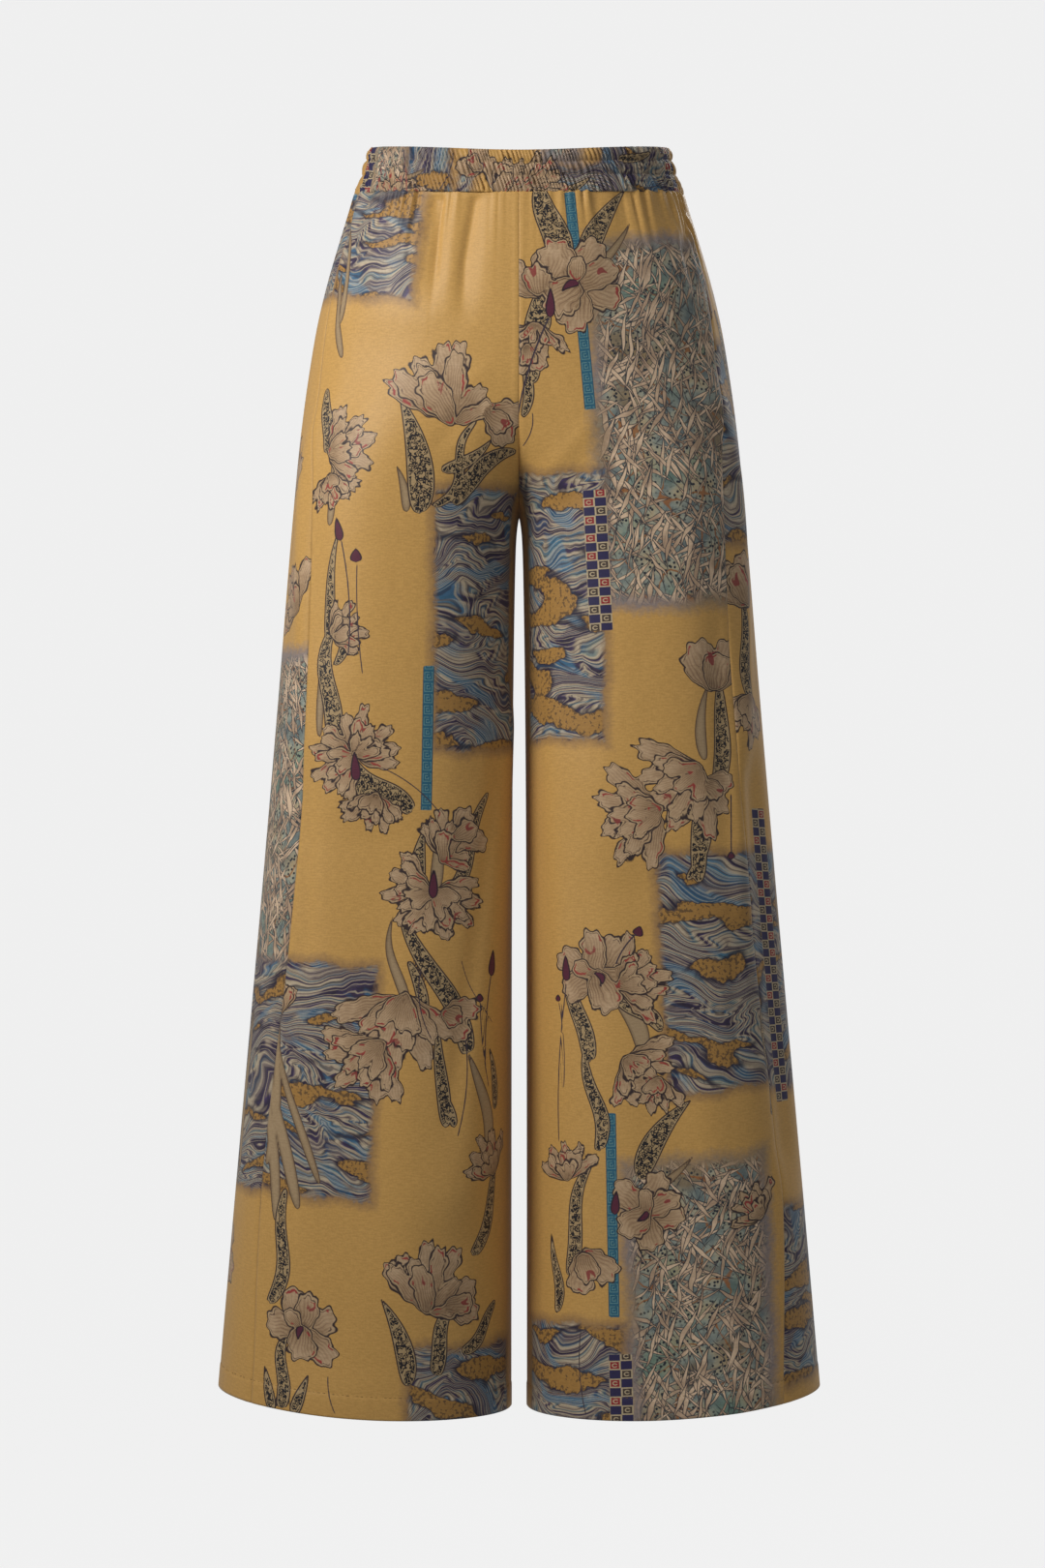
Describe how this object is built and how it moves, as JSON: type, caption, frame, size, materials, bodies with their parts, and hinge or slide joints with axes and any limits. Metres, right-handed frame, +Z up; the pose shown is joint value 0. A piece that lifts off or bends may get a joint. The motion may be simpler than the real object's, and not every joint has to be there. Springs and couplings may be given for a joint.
{
  "type": "palazzo pants",
  "caption": "Wide-legged pull-on palazzo pants in printed satin, with a gathered elastic waistband, worn open as a hollow form.",
  "frame": {"origin": "middle of the waist opening, level with the waistband's top edge at the sides", "axes": "+Z up from the hems to the waist, -Y the way the front faces, +X to the right of someone who looks at the front"},
  "size_m": [0.4833, 0.2281, 1.0167],
  "materials": {
    "panel_satin": "golden ochre satin, printed with waves, bamboo and flowers",
    "band_satin": "the same printed satin, gathered over elastic"
  },
  "bodies": {
    "root": {"front_left": "panel_satin", "front_right": "panel_satin", "back_left": "panel_satin", "back_right": "panel_satin", "waistband_front": "band_satin", "waistband_back": "band_satin"}
  },
  "joints": []
}
